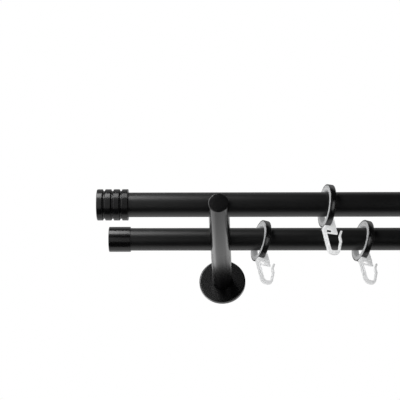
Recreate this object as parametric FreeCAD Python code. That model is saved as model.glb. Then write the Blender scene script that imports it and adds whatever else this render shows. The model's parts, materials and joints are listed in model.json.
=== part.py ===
# Double curtain pole: two tubes laid in the saddles of two round wall arms,
# with finials on the front tube, end cups on the rear one and ring gliders on both.
# Frame: X along the poles, wall at Y = 0 with the room at -Y, Z up, origin midway between the arm axes.
import FreeCAD
import Part
import math
import os

# Poles
pole_length = 620.0
pole_wall = 1.0
front_pole_d = 20.0
rear_pole_d = 19.0

# Wall arms
bracket_inset = 92.0  # pole end to the arm's axis
rear_reach = 75.0  # wall to the rear pole's axis
front_reach = 138.0  # wall to the front pole's axis
pole_lift = 5.4  # pole axes above the arm's axis
arm_d = 17.0
arm_nose = 14.0  # arm end in front of the front pole's axis
arm_edge = 0.8
saddle_clearance = 0.1

# Rosettes between arm and wall
rosette_d = 40.4
rosette_t = 4.0
rosette_edge = 1.2
rosette_seat = 1.0  # depth of the arm's seat
seat_clearance = 0.1
relief_rim = 3.0
relief_depth = 0.8

# Hanger bolts: machine thread in the arm, slimmer wood thread with a point in the wall
bolt_d = 8.0
wood_d = 7.6
bolt_in_arm = 18.0
bolt_in_wall = 42.0
bolt_point = 8.0
bolt_clearance = 0.2
thread_gap = 0.05
hole_spare = 2.0

# Front finials: turned sleeves with ribs
finial_d = 25.4
finial_length = 25.3
finial_base = 7.0
finial_edge = 0.8
rib_count = 4
groove_w = 2.2  # at the mouth
groove_root = 1.0
groove_depth = 1.4
slip_clearance = 0.1

# Rear end cups
cap_wall = 0.95
cap_length = 18.0
cap_base = 2.0
cap_edge = 0.5

# Grub screws of the finials, in the rib next to the open end, on the wall side
grub_d = 4.0
grub_socket = 2.0
grub_socket_depth = 1.3
grub_sink = 0.3
grub_gap = 0.05

# Rings: a metal band round a plastic glide liner
ring_d = 35.4
ring_wall = 1.0
ring_width = 4.7
liner_t = 4.6
liner_round = 2.0  # rounding of the bore's edges
liner_lip = 0.1
liner_fit = 0.05
rear_ring_hang = 0.68  # room between the liner and the top of its pole
front_ring_hang = 0.42
last_ring_room = 60.4  # last rear ring to the right arm
rear_ring_start = 34.0
front_ring_start = 87.5
rear_ring_count = 5
front_ring_count = 4
rear_ring_turn = 22.0
front_ring_turn = 16.0
rear_ring_swing = 11.0  # hooks swung towards the room
front_ring_swing = 0.0

# Pleat hooks, drawn in the plane of the ring's axis: across it, and up from the ring's underside
hook_t = 2.0
hook_drop = 25.3
clip_gap = 0.12
jaw_t = 1.4
jaw_reach = 1.6
head_w = 4.7
head_drop = 3.4
fin_top = 8.3
fin_top_w = 2.2
fin_w = 8.6
fin_drop = 6.8
web_t = 1.2  # thickness of the fin beside the shank
web_drop = 1.6
shank_w = 3.1
shank_lean = 13.0
bend_t = 3.2
bend_inner_r = 2.6
bend_outer_r = 5.0
leg_w = 1.8
leg_foot = 9.2  # place of the leg's axis at the bend
leg_bulge = (10.9, 12.7)
leg_kink = (10.1, 8.3)
leg_tip = (11.8, 3.0)
slot_w = 3.8
slot_h = 2.3
slot_drop = 3.6
slot_inset = 0.8  # shank to slot
channel_w = 1.3
channel_depth = 0.45
channel_margin = 3.0
corner_r = 0.5
tip_r = 0.8

half_pole = pole_length / 2
half_spacing = half_pole - bracket_inset
ring_pitch = (2 * half_spacing - rear_ring_start - last_ring_room) / (rear_ring_count - 1)
arm_r = arm_d / 2
ring_r = ring_d / 2
liner_r = ring_r - ring_wall - liner_fit
bore_r = liner_r - liner_t
rib_w = (finial_length - (rib_count - 1) * groove_w) / rib_count
along_x = FreeCAD.Vector(1, 0, 0)
along_y = FreeCAD.Vector(0, 1, 0)
along_z = FreeCAD.Vector(0, 0, 1)


def rod(radius, length, start, direction):
    return Part.makeCylinder(radius, length, FreeCAD.Vector(*start), direction)


def turned(profile):
    # solid of revolution about X from (x, radius) points
    points = [FreeCAD.Vector(x, 0, r) for x, r in profile]
    face = Part.Face(Part.makePolygon(points + points[:1]))
    return face.revolve(FreeCAD.Vector(0, 0, 0), along_x, 360)


def moved(shape, x, y, z):
    copy = shape.copy()
    copy.translate(FreeCAD.Vector(x, y, z))
    return copy


def at_end(shape, sign):
    # right hand piece as drawn, or its mirror image for the left end
    if sign > 0:
        return shape.copy()
    return shape.mirror(FreeCAD.Vector(0, 0, 0), along_x)


def round_edges(shape, radius, chosen):
    return shape.makeFillet(radius, [e for e in shape.Edges if chosen(e)])


def circle_at(edge, x, radius):
    curve = edge.Curve
    is_circle = isinstance(curve, Part.Circle)
    return is_circle and abs(curve.Center.x - x) < 1e-6 and abs(curve.Radius - radius) < 1e-6


def rounded_outline(corners):
    # closed wire through (across, up, radius) corners in XZ, with tangent arcs where a radius is given
    count = len(corners)
    edges = []
    spans = []
    for i in range(count):
        neighbours = (corners[i - 1], corners[i], corners[(i + 1) % count])
        before, here, after = (FreeCAD.Vector(c[0], 0, c[1]) for c in neighbours)
        radius = corners[i][2]
        if radius == 0:
            spans.append((here, here, here))
            continue
        back = (before - here).normalize()
        ahead = (after - here).normalize()
        half = back.getAngle(ahead) / 2
        reach = radius / math.tan(half)
        middle = (back + ahead).normalize() * (radius / math.sin(half) - radius)
        spans.append((here + back * reach, here + middle, here + ahead * reach))
    for i, (first, middle, last) in enumerate(spans):
        if first != last:
            edges.append(Part.Arc(first, middle, last).toShape())
        edges.append(Part.makeLine(last, spans[(i + 1) % count][0]))
    return Part.Wire(edges)


def make_pole(diameter, reach):
    tube = rod(diameter / 2, pole_length, (-half_pole, 0, 0), along_x)
    bore = rod(diameter / 2 - pole_wall, pole_length, (-half_pole, 0, 0), along_x)
    return moved(tube.cut(bore), 0, -reach, pole_lift)


def saddle(diameter, reach):
    # upward notch across the arm: half round floor with straight walls above
    radius = diameter / 2 + saddle_clearance
    floor = rod(radius, arm_d, (-arm_r, -reach, pole_lift), along_x)
    walls = Part.makeBox(arm_d, 2 * radius, arm_d, FreeCAD.Vector(-arm_r, -reach - radius, pole_lift))
    return floor.fuse(walls)


def make_arm():
    back = -(rosette_t - rosette_seat)
    length = front_reach + arm_nose + back
    bar = rod(arm_r, length, (0, back, 0), -along_y)
    bar = round_edges(bar, arm_edge, lambda e: abs(e.CenterOfMass.y - back + length) < 1e-6)
    tapped = rod(bolt_d / 2 + thread_gap, bolt_in_arm + hole_spare, (0, back, 0), -along_y)
    cuts = [saddle(front_pole_d, front_reach), saddle(rear_pole_d, rear_reach), tapped]
    return bar.cut(cuts).removeSplitter()


def make_rosette():
    disc = rod(rosette_d / 2, rosette_t, (0, 0, 0), -along_y)
    disc = round_edges(disc, rosette_edge, lambda e: abs(e.CenterOfMass.y + rosette_t) < 1e-6)
    seat = rod(arm_r + seat_clearance, rosette_seat, (0, -rosette_t, 0), along_y)
    hole = rod(bolt_d / 2 + bolt_clearance, rosette_t, (0, -rosette_t, 0), along_y)
    relief = rod(rosette_d / 2 - relief_rim, relief_depth, (0, -relief_depth, 0), along_y)
    return disc.cut([seat, hole, relief])


def make_bolt():
    plain_end = -(rosette_t - rosette_seat) - bolt_in_arm
    machine = rod(bolt_d / 2, -plain_end, (0, plain_end, 0), along_y)
    wood = rod(wood_d / 2, bolt_in_wall - bolt_point, (0, 0, 0), along_y)
    point_start = FreeCAD.Vector(0, bolt_in_wall - bolt_point, 0)
    point = Part.makeCone(wood_d / 2, 0, bolt_point, point_start, along_y)
    return machine.fuse([wood, point]).removeSplitter()


def make_finial():
    # right hand finial, open end at x = 0 towards the bracket
    radius = finial_d / 2
    profile = [(0, front_pole_d / 2 + slip_clearance), (0, radius)]
    for i in range(1, rib_count):
        groove = i * (rib_w + groove_w) - groove_w
        root = groove + (groove_w - groove_root) / 2
        profile += [(groove, radius), (root, radius - groove_depth)]
        profile += [(root + groove_root, radius - groove_depth), (groove + groove_w, radius)]
    socket_end = finial_length - finial_base
    profile += [(finial_length, radius), (finial_length, 0), (socket_end, 0)]
    profile += [(socket_end, front_pole_d / 2 + slip_clearance)]
    sleeve = turned(profile)
    sleeve = round_edges(sleeve, finial_edge, lambda e: circle_at(e, finial_length, radius))
    screw_hole = rod(grub_d / 2 + grub_gap, radius, (rib_w / 2, 0, 0), along_y)
    return sleeve.cut(screw_hole)


def make_grub():
    # screw in the first rib, its cup end on the tube and its socket just under the rib's face
    start = front_pole_d / 2
    length = finial_d / 2 - grub_sink - start
    screw = rod(grub_d / 2, length, (rib_w / 2, start, 0), along_y)
    corner = grub_socket / math.sqrt(3)
    turns = [math.radians(60 * i) for i in range(7)]
    top = start + length
    corners = [FreeCAD.Vector(rib_w / 2 + corner * math.cos(t), top, corner * math.sin(t)) for t in turns]
    socket = Part.Face(Part.makePolygon(corners)).extrude(along_y * -grub_socket_depth)
    return screw.cut(socket)


def make_cap():
    # right hand end cup, open end at x = 0
    inner = rear_pole_d / 2 + slip_clearance
    outer = inner + cap_wall
    floor = cap_length - cap_base
    cup = turned([(0, inner), (0, outer), (cap_length, outer), (cap_length, 0), (floor, 0), (floor, inner)])
    return round_edges(cup, cap_edge, lambda e: circle_at(e, cap_length, outer))


def make_band(outer, inner, width):
    start = (-width / 2, 0, 0)
    return rod(outer, width, start, along_x).cut(rod(inner, width, start, along_x))


def make_hook():
    # moulded pleat hook with its clip, in the XZ plane, zero height at the ring's underside
    jaw_side = ring_width / 2 + liner_lip + clip_gap
    jaw_under = ring_r - bore_r + clip_gap
    jaw_top = jaw_under + jaw_t
    lean = math.tan(math.radians(shank_lean))
    across = shank_w / math.cos(math.radians(shank_lean))

    def shank_edge(drop, offset):
        return -head_w + lean * (drop - head_drop) + offset

    inner_floor = hook_drop - bend_t
    leg_lean = (leg_bulge[0] - leg_foot) / (inner_floor - leg_bulge[1])
    outline = [(-head_w, -head_drop, corner_r), (-jaw_side, -clip_gap, corner_r), (jaw_side, -clip_gap, 0)]
    outline += [(jaw_side, jaw_under, 0), (-jaw_reach, jaw_under, 0), (-jaw_reach, jaw_top, corner_r)]
    outline += [(jaw_side, jaw_top, corner_r), (jaw_side, fin_top, corner_r)]
    outline += [(jaw_side + fin_top_w, fin_top, corner_r), (fin_w, -fin_drop, corner_r)]
    outline += [(shank_edge(fin_drop, across), -fin_drop, corner_r)]
    outline += [(shank_edge(inner_floor, across), -inner_floor, bend_inner_r)]
    outline += [(leg_foot - leg_w / 2, -inner_floor, bend_inner_r)]
    outline += [(u - leg_w / 2, -drop, leg_w) for u, drop in (leg_bulge, leg_kink)]
    outline += [(leg_tip[0] + side * leg_w / 2, -leg_tip[1], tip_r) for side in (-1, 1)]
    outline += [(u + leg_w / 2, -drop, leg_w) for u, drop in (leg_kink, leg_bulge)]
    outline += [(leg_foot + leg_w / 2 - leg_lean * bend_t, -hook_drop, bend_outer_r)]
    outline += [(shank_edge(hook_drop, 0), -hook_drop, bend_outer_r)]
    plate = Part.Face(rounded_outline(outline)).extrude(along_y * hook_t)
    plate.translate(along_y * (-hook_t / 2))

    slot_left = shank_edge(slot_drop, across) + slot_inset
    slot = Part.makeBox(slot_w, hook_t, slot_h, FreeCAD.Vector(slot_left, -hook_t / 2, -slot_drop - slot_h))
    cuts = [slot]
    pocket_right = jaw_side + fin_top_w + fin_w
    pocket_low = fin_drop + web_drop
    pocket = [(shank_edge(web_drop, across), web_drop), (pocket_right, web_drop)]
    pocket += [(pocket_right, pocket_low), (shank_edge(pocket_low, across), pocket_low)]
    corners = [FreeCAD.Vector(u, 0, -drop) for u, drop in pocket]
    pocket_face = Part.Face(Part.makePolygon(corners + corners[:1]))
    pocket_depth = (hook_t - web_t) / 2
    cuts.append(moved(pocket_face.extrude(along_y * pocket_depth), 0, web_t / 2, 0))
    cuts.append(moved(pocket_face.extrude(along_y * pocket_depth), 0, -hook_t / 2, 0))
    straight = (hook_drop - bend_outer_r - fin_drop) / math.cos(math.radians(shank_lean))
    channel_length = straight - channel_margin
    for side in (-1, 1):
        channel = Part.makeBox(channel_w, 2 * channel_depth, channel_length)
        channel_face = side * hook_t / 2 - channel_depth
        channel.translate(FreeCAD.Vector((shank_w - channel_w) / 2, channel_face, -channel_length))
        channel.rotate(FreeCAD.Vector(0, 0, 0), along_y, -shank_lean)
        channel.translate(FreeCAD.Vector(shank_edge(fin_drop, 0), 0, -fin_drop))
        cuts.append(channel)
    return plate.cut(cuts)


def hung(shape, place, row_look):
    # set a ring piece round its pole, hanging with its liner just clear of the top of the tube
    turn, swing, hang, pole_d, reach = row_look
    drop = bore_r - pole_d / 2 - hang
    copy = shape.copy()
    copy.rotate(FreeCAD.Vector(0, 0, 0), along_z, turn)
    copy.rotate(FreeCAD.Vector(0, 0, 0), along_x, -swing)
    return moved(copy, place - half_spacing, -reach, pole_lift - drop)


parts = {}
parts["front_pole"] = make_pole(front_pole_d, front_reach)
parts["rear_pole"] = make_pole(rear_pole_d, rear_reach)
finial = moved(make_finial(), half_pole + finial_base - finial_length, 0, 0)
grub = moved(make_grub(), half_pole + finial_base - finial_length, 0, 0)
cap = moved(make_cap(), half_pole + cap_base - cap_length, 0, 0)
grubs = []
bolts = []
for side, sign in (("left", -1), ("right", 1)):
    parts["front_finial_" + side] = moved(at_end(finial, sign), 0, -front_reach, pole_lift)
    parts["rear_end_cap_" + side] = moved(at_end(cap, sign), 0, -rear_reach, pole_lift)
    parts["bracket_arm_" + side] = moved(make_arm(), sign * half_spacing, 0, 0)
    parts["rosette_" + side] = moved(make_rosette(), sign * half_spacing, 0, 0)
    grubs.append(moved(at_end(grub, sign), 0, -front_reach, pole_lift))
    bolts.append(moved(make_bolt(), sign * half_spacing, 0, 0))
parts["finial_grub_screws"] = Part.makeCompound(grubs)
parts["hanger_bolts"] = Part.makeCompound(bolts)

ring = make_band(ring_r, ring_r - ring_wall, ring_width)
liner_w = ring_width + 2 * liner_lip
liner = make_band(liner_r, bore_r, liner_w)
for face_x in (-liner_w / 2, liner_w / 2):
    liner = round_edges(liner, liner_round, lambda e: circle_at(e, face_x, bore_r))
hook = moved(make_hook(), 0, 0, -ring_r)
rear_look = (rear_ring_turn, rear_ring_swing, rear_ring_hang, rear_pole_d, rear_reach)
front_look = (front_ring_turn, front_ring_swing, front_ring_hang, front_pole_d, front_reach)
rows = (
    ("rear", rear_ring_count, rear_ring_start, rear_look),
    ("front", front_ring_count, front_ring_start, front_look),
)
for row, count, start, row_look in rows:
    for i in range(count):
        place = start + i * ring_pitch
        name = row + "_%s_" + str(i + 1)
        parts[name % "ring"] = hung(ring, place, row_look)
        parts[name % "glide_liner"] = hung(liner, place, row_look)
        parts[name % "pleat_hook"] = hung(hook, place, row_look)

os.makedirs("parts", exist_ok=True)
for node, shape in parts.items():
    shape.exportStep("parts/" + node + ".step")
    print(node, "solids", len(shape.Solids), "valid", shape.isValid(), "volume %.1f" % shape.Volume)
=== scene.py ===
import json
import math
import bmesh
import bpy
from mathutils import Matrix, Vector

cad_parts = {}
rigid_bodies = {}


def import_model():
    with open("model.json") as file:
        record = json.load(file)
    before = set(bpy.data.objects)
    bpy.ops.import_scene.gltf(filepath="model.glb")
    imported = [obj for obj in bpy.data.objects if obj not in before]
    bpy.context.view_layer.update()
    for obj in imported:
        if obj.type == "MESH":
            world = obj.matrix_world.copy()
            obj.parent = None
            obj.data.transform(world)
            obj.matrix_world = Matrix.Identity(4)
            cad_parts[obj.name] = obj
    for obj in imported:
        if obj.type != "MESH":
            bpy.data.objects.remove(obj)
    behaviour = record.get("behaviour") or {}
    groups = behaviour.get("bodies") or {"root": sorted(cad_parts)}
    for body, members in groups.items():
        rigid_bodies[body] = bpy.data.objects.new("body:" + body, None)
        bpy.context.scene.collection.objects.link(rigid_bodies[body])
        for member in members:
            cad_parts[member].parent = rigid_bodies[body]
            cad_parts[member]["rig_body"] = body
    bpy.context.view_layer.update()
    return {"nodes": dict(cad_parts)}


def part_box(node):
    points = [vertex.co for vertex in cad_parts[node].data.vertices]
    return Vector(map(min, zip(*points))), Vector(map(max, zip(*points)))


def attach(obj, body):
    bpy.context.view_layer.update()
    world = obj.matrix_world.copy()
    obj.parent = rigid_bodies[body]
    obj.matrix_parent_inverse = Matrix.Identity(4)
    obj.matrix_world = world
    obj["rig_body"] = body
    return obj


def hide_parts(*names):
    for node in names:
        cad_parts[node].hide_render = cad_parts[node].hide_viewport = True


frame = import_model()
cadNodes = frame["nodes"]


class Wire:
    # a socket that takes part in Python sums: each operator adds a Math node
    def __init__(self, finish, socket):
        self.finish = finish
        self.socket = socket

    def reckon(self, operation, first, second):
        return self.finish.node("ShaderNodeMath", {"operation": operation}, {0: first, 1: second})

    def __add__(self, other):
        return self.reckon("ADD", self, other)

    def __radd__(self, other):
        return self.reckon("ADD", other, self)

    def __sub__(self, other):
        return self.reckon("SUBTRACT", self, other)

    def __rsub__(self, other):
        return self.reckon("SUBTRACT", other, self)

    def __mul__(self, other):
        return self.reckon("MULTIPLY", self, other)

    def __rmul__(self, other):
        return self.reckon("MULTIPLY", other, self)


# sockets of a colour Mix node by number, because their names repeat
mixSockets = {"factor": 0, "first": 6, "second": 7, "result": 2}


class Finish:
    # a material with its node tree; fixed values go straight to the shader's own sockets
    def __init__(self, name, fixed):
        self.material = bpy.data.materials.new(name)
        self.material.use_nodes = True
        self.tree = self.material.node_tree
        self.shader = self.tree.nodes["Principled BSDF"]
        for socket, value in fixed.items():
            self.shader.inputs[socket].default_value = value
        self.place = self.node("ShaderNodeTexCoord", {}, {}, "Object")

    def node(self, kind, settings, inputs, output=0):
        made = self.tree.nodes.new(kind)
        for key, value in settings.items():
            setattr(made, key, value)
        for key, value in inputs.items():
            self.feed(made.inputs[key], value)
        return Wire(self, made.outputs[output])

    def feed(self, socket, value):
        if isinstance(value, Wire):
            self.tree.links.new(value.socket, socket)
        else:
            socket.default_value = value

    def noise(self, size, detail=2.0, place=None):
        # clouds about size metres across
        inputs = {"Vector": place or self.place, "Scale": 1 / size, "Detail": detail}
        return self.node("ShaderNodeTexNoise", {}, inputs)

    def blend(self, factor, first, second):
        inputs = {
            mixSockets["factor"]: factor,
            mixSockets["first"]: (*first, 1),
            mixSockets["second"]: (*second, 1),
        }
        return self.node("ShaderNodeMix", {"data_type": "RGBA"}, inputs, mixSockets["result"])

    def surface(self, colour, roughness, height, strength, depth):
        bump = {"Height": height, "Strength": strength, "Distance": depth}
        self.feed(self.shader.inputs["Base Color"], colour)
        self.feed(self.shader.inputs["Roughness"], roughness)
        self.feed(self.shader.inputs["Normal"], self.node("ShaderNodeBump", {}, bump))
        return self.material


noiseMiddle = 0.5  # mean of a noise texture


def satinBlack(name, look):
    # stoved black coat: faint clouds in tone and gloss, an orange peel skin and a fine grain
    made = Finish(name, {"IOR": look["ior"]})
    cloud = made.noise(look["cloud"])
    peel = made.noise(look["peel"])
    grain = made.noise(look["grain"], look["detail"])
    tone = cloud * look["cloudShare"] + grain * (1 - look["cloudShare"])
    colour = made.blend(tone, look["deep"], look["pale"])
    cloudGloss = look["spread"] * (cloud - noiseMiddle)
    grainGloss = look["spread"] * (grain - noiseMiddle)
    roughness = look["roughness"] + cloudGloss + grainGloss
    height = peel * look["peelShare"] + grain * (1 - look["peelShare"])
    return made.surface(colour, roughness, height, look["bump"], look["depth"])


def milkyPlastic(name, look):
    # injection moulded plastic with faint flow streaks; the glow stands for light that passes through it
    glow = {"Emission Color": (*look["pale"], 1), "Emission Strength": look["glow"]}
    made = Finish(name, {"IOR": look["ior"], **glow})
    stretched = made.node("ShaderNodeMapping", {}, {"Vector": made.place, "Scale": look["streak"]})
    flow = made.noise(look["cloud"], look["detail"], stretched)
    grain = made.noise(look["grain"], look["detail"])
    tone = flow * look["flowShare"] + grain * (1 - look["flowShare"])
    colour = made.blend(tone, look["deep"], look["pale"])
    roughness = look["roughness"] + look["spread"] * (flow - noiseMiddle)
    height = flow * look["skinShare"] + grain * (1 - look["skinShare"])
    return made.surface(colour, roughness, height, look["bump"], look["depth"])


def platedSteel(name, look):
    # bright zinc on a cold headed bolt, with patchy gloss
    made = Finish(name, {"Metallic": 1.0})
    cloud = made.noise(look["cloud"], look["detail"])
    grain = made.noise(look["grain"], look["detail"])
    colour = made.blend(cloud, look["deep"], look["pale"])
    roughness = look["roughness"] + look["spread"] * (cloud - noiseMiddle)
    height = grain * look["grainShare"] + cloud * (1 - look["grainShare"])
    return made.surface(colour, roughness, height, look["bump"], look["depth"])


# lengths in metres; shares say how much of a mix the first noise makes
coatLook = {
    "deep": (0.0012, 0.0012, 0.0013), "pale": (0.0026, 0.0026, 0.0028), "ior": 1.5,
    "cloud": 0.03, "peel": 0.0016, "grain": 0.0004, "detail": 4.0, "cloudShare": 0.6, "peelShare": 0.7,
    "roughness": 0.39, "spread": 0.05, "bump": 0.05, "depth": 0.00004,
}
lacquerLook = {**coatLook, "spread": 0.03, "bump": 0.006}
plasticLook = {
    "ior": 1.49, "grain": 0.0006, "detail": 3.0, "flowShare": 0.7, "skinShare": 0.5,
    "spread": 0.08, "bump": 0.04,
}
finishes = {
    "pole": satinBlack("poleSatinBlack", coatLook),
    "finial": satinBlack("finialBlackLacquer", {**lacquerLook, "ior": 1.42, "roughness": 0.25}),
    "cap": satinBlack("capBlackLacquer", {**lacquerLook, "ior": 1.47, "roughness": 0.22}),
    "arm": satinBlack("armSatinBlack", {**coatLook, "roughness": 0.23, "bump": 0.015}),
    "ring": satinBlack("ringBlackBand", {
        **coatLook, "ior": 1.75, "roughness": 0.26, "cloud": 0.008, "peel": 0.001,
    }),
    "grub": satinBlack("grubBlackOxide", {**coatLook, "roughness": 0.45, "cloud": 0.002, "peel": 0.0006}),
    "liner": milkyPlastic("linerMilkyPlastic", {
        **plasticLook, "deep": (0.26, 0.263, 0.266), "pale": (0.33, 0.333, 0.336), "glow": 0.45,
        "streak": (1.0, 1.0, 3.0), "cloud": 0.006, "roughness": 0.42, "depth": 0.00005,
    }),
    "hook": milkyPlastic("hookMilkyPlastic", {
        **plasticLook, "deep": (0.7, 0.704, 0.708), "pale": (0.77, 0.774, 0.778), "glow": 0.18,
        "streak": (1.0, 1.0, 0.3), "cloud": 0.004, "roughness": 0.34, "depth": 0.00006,
    }),
    "bolt": platedSteel("boltBrightZinc", {
        "deep": (0.5, 0.51, 0.53), "pale": (0.72, 0.73, 0.74), "cloud": 0.004, "grain": 0.0005, "detail": 4.0,
        "grainShare": 0.6, "roughness": 0.32, "spread": 0.14, "bump": 0.2, "depth": 0.00004,
    }),
}
print("finishes:", len(finishes))


def dress(piece, finish):
    piece.data.materials.clear()
    piece.data.materials.append(finishes[finish])


def newPiece(name, work, crease, body, finish):
    # a finished bmesh becomes a smooth shaded piece of the object
    mesh = bpy.data.meshes.new(name)
    for face in work.faces:
        face.smooth = True
    work.to_mesh(mesh)
    work.free()
    mesh.set_sharp_from_angle(angle=crease)
    piece = bpy.data.objects.new(name, mesh)
    bpy.context.scene.collection.objects.link(piece)
    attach(piece, body)
    dress(piece, finish)
    return piece


# carried over CAD nodes and the finish each takes
plainNodes = {"front_pole": "pole", "rear_pole": "pole", "finial_grub_screws": "grub"}
for side in ("left", "right"):
    plainNodes["rear_end_cap_" + side] = "cap"
    plainNodes["rosette_" + side] = "arm"
for node, finish in plainNodes.items():
    dress(cadNodes[node], finish)
print("carried over nodes dressed:", len(plainNodes))


# pieces whose crisp CAD edges are eased as the real ones are, with the same outline
eased = {
    "hook": {"part": "_moulded", "slot": "hook_white", "finish": "hook", "round": 0.00025, "segments": 2},
    "ring": {"part": "_band", "slot": "ring_black", "finish": "ring", "round": 0.00018, "segments": 2},
    "liner": {"part": "_glide", "slot": "liner_white", "finish": "liner", "round": 0.0002, "segments": 2},
    "arm": {"part": "_bar", "slot": "arm_black", "finish": "arm", "round": 0.00022, "segments": 2},
    "finial": {
        "part": "_turned", "slot": "finial_black", "finish": "finial", "round": 0.0003, "segments": 3,
        "angles": (60, 72), "crease": 9,
    },
}
# bevelled edges lie between two face angles in degrees, and shading breaks at the crease
easing = {"merge": 2e-6, "flat": math.radians(0.6), "angles": (35, 180), "crease": 40}


def easedCopy(node, kind):
    work = bmesh.new()
    work.from_mesh(cadNodes[node].data)
    bmesh.ops.remove_doubles(work, verts=work.verts, dist=easing["merge"])
    bmesh.ops.dissolve_limit(work, angle_limit=easing["flat"], verts=work.verts, edges=work.edges)
    low, high = kind.get("angles", easing["angles"])
    sharp = [e for e in work.edges if e.is_manifold and low < math.degrees(e.calc_face_angle()) < high]
    bmesh.ops.bevel(
        work, geom=sharp, offset=kind["round"], offset_type="OFFSET", affect="EDGES",
        segments=kind["segments"], profile=0.5, material=-1, clamp_overlap=True,
    )
    body = cadNodes[node]["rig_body"]
    crease = math.radians(kind.get("crease", easing["crease"]))
    piece = newPiece(node + kind["part"], work, crease, body, kind["finish"])
    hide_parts(node)


easedNodes = {}
for side in ("left", "right"):
    easedNodes["bracket_arm_" + side] = "arm"
    easedNodes["front_finial_" + side] = "finial"
for node in cadNodes:
    for word, kind in (("_pleat_hook_", "hook"), ("_ring_", "ring"), ("_glide_liner_", "liner")):
        if word in node:
            easedNodes[node] = kind
for node, kind in easedNodes.items():
    easedCopy(node, eased[kind])
print("eased pieces:", len(easedNodes))


# hanger bolts with their wood thread, turned about Y
hangerBolt = {
    "machineRadius": 0.004, "rootRadius": 0.0028, "crestRadius": 0.0038, "pitch": 0.0032, "flank": 0.0011,
    "inArm": -0.021, "threadStart": 0.003, "pointStart": 0.034, "pointEnd": 0.042, "around": 40,
    "footShare": 0.9, "tipShare": 0.02, "runOut": 0.5, "merge": 1e-6, "crease": math.radians(35),
}


def turnAboutY(work, x, profile, steps):
    # lathe a chain of (y, radius) points round the axis at x
    chain = [work.verts.new((x + radius, y, 0)) for y, radius in profile]
    for first, second in zip(chain, chain[1:]):
        work.edges.new((first, second))
    lines = [e for e in work.edges if e.verts[0] in chain and e.verts[1] in chain]
    bmesh.ops.spin(
        work, geom=chain + lines, cent=(x, 0, 0), axis=(0, 1, 0), angle=math.tau, steps=steps, use_merge=True,
    )


def screwRidge(work, x, bolt):
    # a triangular ridge wound up the shank, run out to nothing over the point
    turns = (bolt["pointEnd"] - bolt["threadStart"]) / bolt["pitch"] - bolt["runOut"]
    steps = int(turns * bolt["around"])
    start = bolt["threadStart"]
    foot = bolt["rootRadius"] * bolt["footShare"]
    corners = [(start - bolt["flank"], foot), (start, bolt["crestRadius"]), (start + bolt["flank"], foot)]
    ridge = [work.verts.new((x + radius, y, 0)) for y, radius in corners]
    first = work.faces.new(ridge)
    bmesh.ops.spin(
        work, geom=[first], cent=(x, 0, 0), axis=(0, 1, 0), dvec=(0, bolt["pitch"] / bolt["around"], 0),
        angle=math.tau * steps / bolt["around"], steps=steps,
    )


def hangerBolts(bolt):
    work = bmesh.new()
    pointLength = bolt["pointEnd"] - bolt["pointStart"]
    for side in ("left", "right"):
        low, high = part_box("bracket_arm_" + side)
        x = (low.x + high.x) / 2
        shank = bmesh.new()
        machine = bolt["machineRadius"]
        root = bolt["rootRadius"]
        chamfer = machine - root
        neck = chamfer / 2
        inner = bolt["inArm"]
        machineEnd = [(inner, 0), (inner, root), (inner + chamfer, machine), (0, machine)]
        woodEnd = [(neck, root), (bolt["pointStart"], root), (bolt["pointEnd"], root), (bolt["pointEnd"], 0)]
        turnAboutY(shank, x, machineEnd + woodEnd, bolt["around"])
        screwRidge(shank, x, bolt)
        for vert in shank.verts:
            past = max(0.0, vert.co.y - bolt["pointStart"])
            keep = max(bolt["tipShare"], 1 - past / pointLength)
            vert.co.y = min(vert.co.y, bolt["pointEnd"])
            vert.co.x = x + (vert.co.x - x) * keep
            vert.co.z *= keep
        bmesh.ops.remove_doubles(shank, verts=shank.verts, dist=bolt["merge"])
        bmesh.ops.recalc_face_normals(shank, faces=shank.faces)
        mesh = bpy.data.meshes.new("hangerBolt")
        shank.to_mesh(mesh)
        shank.free()
        work.from_mesh(mesh)
        bpy.data.meshes.remove(mesh)
    piece = newPiece("hanger_bolts_threaded", work, bolt["crease"], "wall_frame", "bolt")
    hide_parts("hanger_bolts")


hangerBolts(hangerBolt)
print("hanger bolts threaded")


# camera: the photo's view from below, fixed on the front pole's axis at the left arm
photoView = {
    "image": 400, "focus": 1800.0, "sensor": 36.0, "azimuth": 2.276, "rise": 27.681, "roll": 0.935,
    "distance": 1.4605, "axisPixel": (218.93, 204.66), "farClip": 100,
}


def photoCamera(view):
    azimuth, rise, roll = (math.radians(view[key]) for key in ("azimuth", "rise", "roll"))
    ahead = Vector((-math.sin(azimuth) * math.cos(rise), math.cos(azimuth) * math.cos(rise), math.sin(rise)))
    level = Vector((math.cos(azimuth), math.sin(azimuth), 0))
    upright = level.cross(ahead)
    right = level * math.cos(roll) + upright * math.sin(roll)
    up = upright * math.cos(roll) - level * math.sin(roll)
    poleLow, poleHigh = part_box("front_pole")
    armLow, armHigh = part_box("bracket_arm_left")
    target = (poleLow + poleHigh) / 2
    target.x = (armLow.x + armHigh.x) / 2
    perPixel = view["distance"] / view["focus"]
    across = (view["axisPixel"][0] - view["image"] / 2) * perPixel
    down = (view["axisPixel"][1] - view["image"] / 2) * perPixel
    spot = target - ahead * view["distance"] - right * across + up * down
    data = bpy.data.cameras.new("photoCamera")
    data.sensor_width = view["sensor"]
    data.lens = view["focus"] / view["image"] * view["sensor"]
    data.clip_end = view["farClip"]
    camera = bpy.data.objects.new("photoCamera", data)
    turn = Matrix((right, up, -ahead)).transposed().to_4x4()
    camera.matrix_world = Matrix.Translation(spot) @ turn
    bpy.context.scene.collection.objects.link(camera)
    bpy.context.scene.camera = camera


photoCamera(photoView)
print("camera set")


# studio: pale floor far below, white surroundings, long soft boxes round the front pole and two at the sides
studio = {
    "floorDrop": 2.2, "floorRadius": 14.0, "floorSides": 96,
    "floorTone": (0.62, 0.62, 0.62), "floorShade": 0.98, "floorGlow": 0.8, "floorCloud": 0.8,
    "floorRoughness": 0.7, "floorSpread": 0.1, "floorBump": 0.05, "floorDepth": 0.001,
    "surround": 0.012, "backdrop": 1.0,
}
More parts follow.
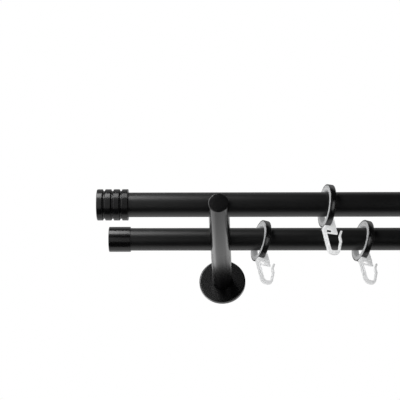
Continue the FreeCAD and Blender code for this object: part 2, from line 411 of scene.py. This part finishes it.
# a box without glints gives no reflections, one without fills gives nothing else
# long boxes: span along X, angle round the pole from the front upwards, half the height as an angle
longBoxes = {
    "keyAbove": {"span": (-0.62, -0.338), "angle": 46, "half": 18, "distance": 0.45, "radiance": 10.4},
    "frontLeft": {"span": (-0.9, -0.338), "angle": -16, "half": 36, "distance": 0.45, "radiance": 1.0},
    "belowBehind": {"span": (-3, 3), "angle": -120, "half": 16, "distance": 1.8, "radiance": 0.95},
    "lowBehind": {"span": (-3, 3), "angle": -155, "half": 18, "distance": 1.8, "radiance": 0.92},
    "lowLeft": {"span": (-4, -0.9), "angle": -160, "half": 20, "distance": 1.8, "radiance": 0.5},
    "behind": {"span": (-0.9, 0.6), "angle": 165, "half": 22, "distance": 2.4, "radiance": 0.5},
    "behindLeft": {"span": (-5, -0.9), "angle": 165, "half": 22, "distance": 2.4, "radiance": 1.25},
    "behindRight": {"span": (0.6, 5), "angle": 165, "half": 22, "distance": 2.4, "radiance": 1.2},
    "topBehind": {"span": (-3, 3), "angle": 106, "half": 22, "distance": 1.8, "radiance": 0.5},
    "frontFill": {
        "span": (-2, 1.6), "angle": -25, "half": 45, "distance": 1.6, "radiance": 0.9, "glints": False,
    },
}
# side boxes: azimuth from the front towards the right, rise, distance and size
sideBoxes = {
    "leftEdge": {
        "azimuth": -78, "rise": 8, "distance": 2.0, "size": (1.0, 1.8), "radiance": 3.6, "fills": False,
    },
    "frontRight": {"azimuth": 35, "rise": -20, "distance": 1.6, "size": (0.36, 1.1), "radiance": 1.7},
}


def softBox(name, box, spot, toLight, size):
    data = bpy.data.lights.new(name, "AREA")
    data.shape = "RECTANGLE"
    data.size, data.size_y = size
    data.energy = box["radiance"] * math.pi * data.size * data.size_y
    light = bpy.data.objects.new(name, data)
    light.location = spot
    light.rotation_mode = "QUATERNION"
    light.rotation_quaternion = toLight.to_track_quat("Z", "Y")
    light.visible_camera = False
    light.visible_glossy = box.get("glints", True)
    light.visible_diffuse = box.get("fills", True)
    bpy.context.scene.collection.objects.link(light)


def longBox(name, box, axis):
    angle = math.radians(box["angle"])
    toLight = Vector((0, -math.cos(angle), math.sin(angle)))
    spot = axis + toLight * box["distance"]
    spot.x = (box["span"][0] + box["span"][1]) / 2
    height = 2 * box["distance"] * math.tan(math.radians(box["half"]))
    softBox(name, box, spot, toLight, (box["span"][1] - box["span"][0], height))


def sideBox(name, box, aim):
    azimuth, rise = math.radians(box["azimuth"]), math.radians(box["rise"])
    level = math.cos(rise)
    toLight = Vector((math.sin(azimuth) * level, -math.cos(azimuth) * level, math.sin(rise)))
    softBox(name, box, aim + toLight * box["distance"], toLight, box["size"])


def pourFloor(room):
    work = bmesh.new()
    bmesh.ops.create_circle(work, cap_ends=True, radius=room["floorRadius"], segments=room["floorSides"])
    bmesh.ops.translate(work, verts=work.verts, vec=(0, 0, -room["floorDrop"]))
    mesh = bpy.data.meshes.new("studioFloor")
    work.to_mesh(mesh)
    work.free()
    floor = bpy.data.objects.new("studioFloor", mesh)
    floor.visible_glossy = False
    floor.visible_diffuse = False
    bpy.context.scene.collection.objects.link(floor)
    tone = room["floorTone"]
    paint = Finish("studioFloorPaint", {"Emission Color": (*tone, 1), "Emission Strength": room["floorGlow"]})
    cloud = paint.noise(room["floorCloud"])
    colour = paint.blend(cloud, tuple(room["floorShade"] * c for c in tone), tone)
    roughness = room["floorRoughness"] + room["floorSpread"] * cloud
    mesh.materials.append(paint.surface(colour, roughness, cloud, room["floorBump"], room["floorDepth"]))


def surroundings(room):
    # the camera sees plain white, the object is lit by a dimmer even surround
    world = bpy.data.worlds.new("studioWorld")
    world.use_nodes = True
    tree = world.node_tree
    path = tree.nodes.new("ShaderNodeLightPath")
    level = tree.nodes.new("ShaderNodeMix")
    level.inputs["A"].default_value = room["surround"]
    level.inputs["B"].default_value = room["backdrop"]
    tree.links.new(path.outputs["Is Camera Ray"], level.inputs["Factor"])
    tree.nodes["Background"].inputs["Color"].default_value = (1, 1, 1, 1)
    tree.links.new(level.outputs[0], tree.nodes["Background"].inputs["Strength"])
    bpy.context.scene.world = world


poleLow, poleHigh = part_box("front_pole")
armLow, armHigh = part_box("bracket_arm_left")
for name, box in longBoxes.items():
    longBox(name, box, (poleLow + poleHigh) / 2)
for name, box in sideBoxes.items():
    sideBox(name, box, (armLow + armHigh) / 2)
pourFloor(studio)
surroundings(studio)
bpy.context.scene.view_settings.view_transform = "Standard"
print("studio lit by", len(longBoxes) + len(sideBoxes), "soft boxes")
